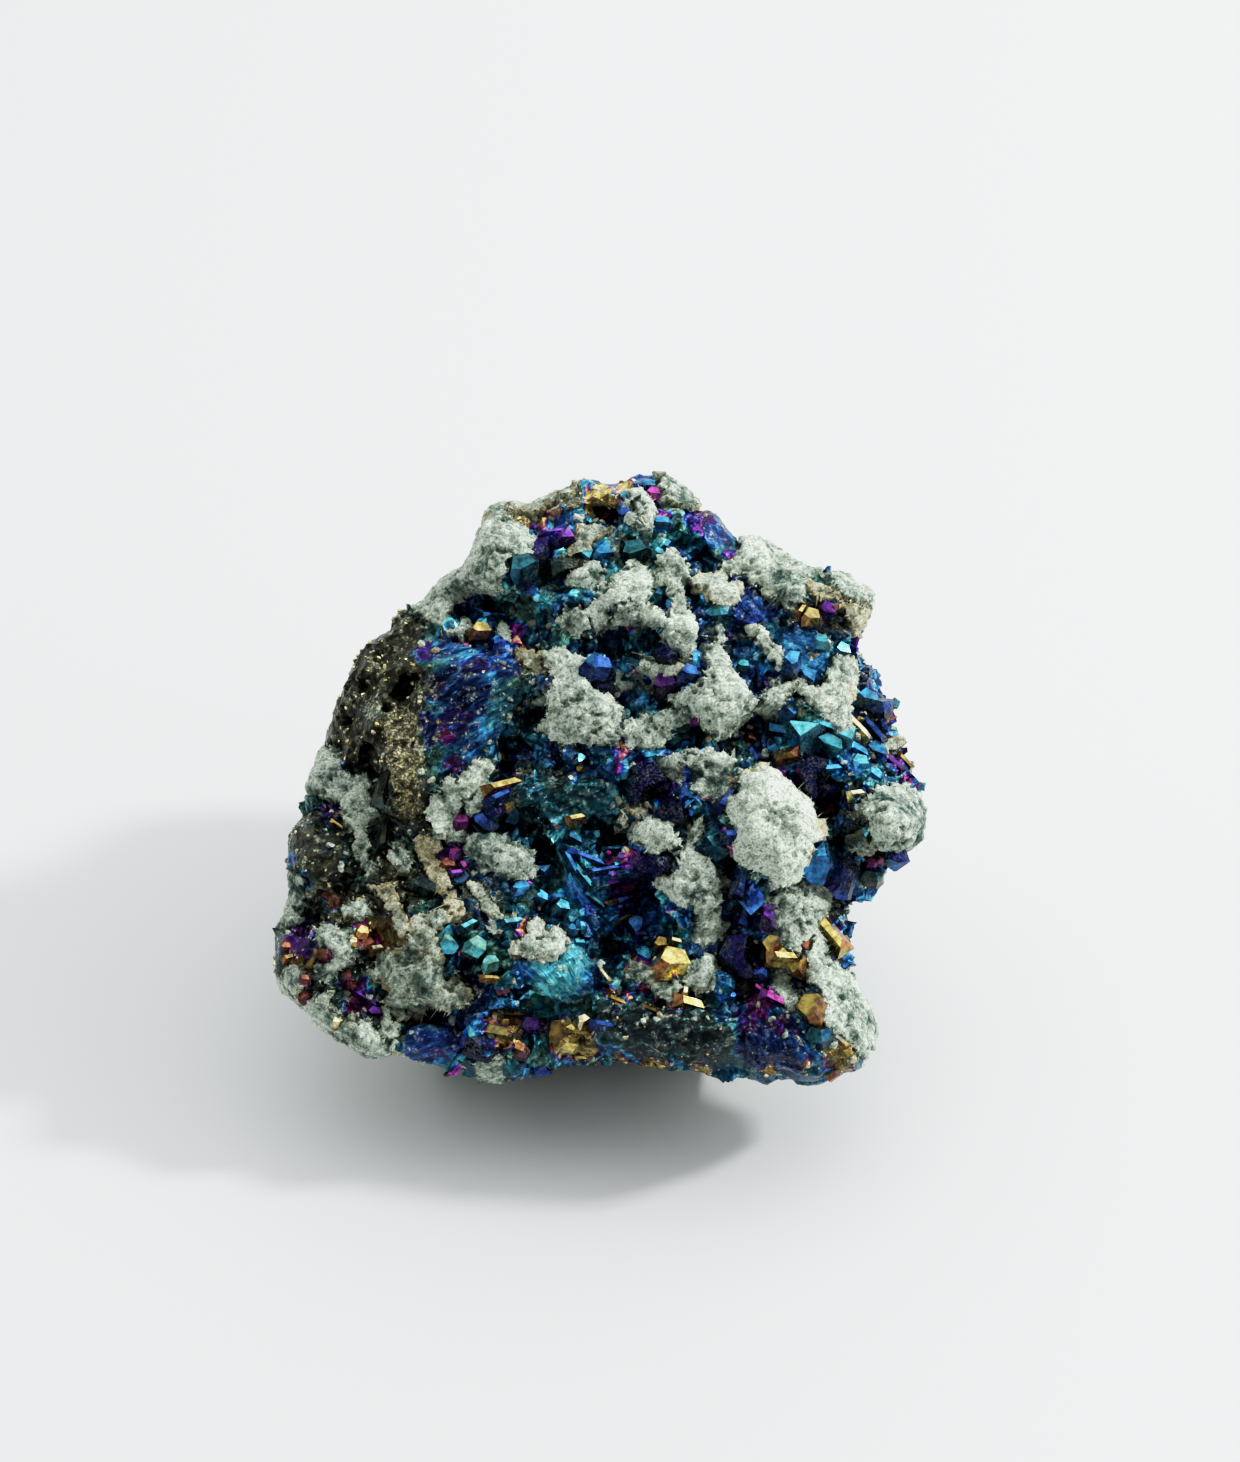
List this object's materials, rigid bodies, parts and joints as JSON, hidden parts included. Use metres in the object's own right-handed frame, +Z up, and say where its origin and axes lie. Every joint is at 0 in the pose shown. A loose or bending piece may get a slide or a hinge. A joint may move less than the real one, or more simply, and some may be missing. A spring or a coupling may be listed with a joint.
{
  "type": "peacock ore specimen",
  "caption": "Rough lump of iridescent peacock ore with grey crust plates and crystal vugs, standing on its small flat foot.",
  "frame": {"origin": "on the surface it stands on, under the middle of its bounding box", "axes": "+Z up as it stands; -Y is the side of the broken face with the crystals; +X to the right of that face"},
  "size_m": [0.063, 0.0584, 0.0468],
  "materials": {
    "tarnished_ore": "iridescent metallic tarnish over dark sulphide, teal and blue to violet and gold",
    "grey_crust": "matte grey-green felted crust with dark specks",
    "crystal_faces": "bright metallic iridescent crystal faces, blue, cyan, violet and gold",
    "brassy_grains": "bright untarnished brassy sulphide grains"
  },
  "bodies": {
    "root": {"ore": "tarnished_ore"}
  },
  "joints": []
}
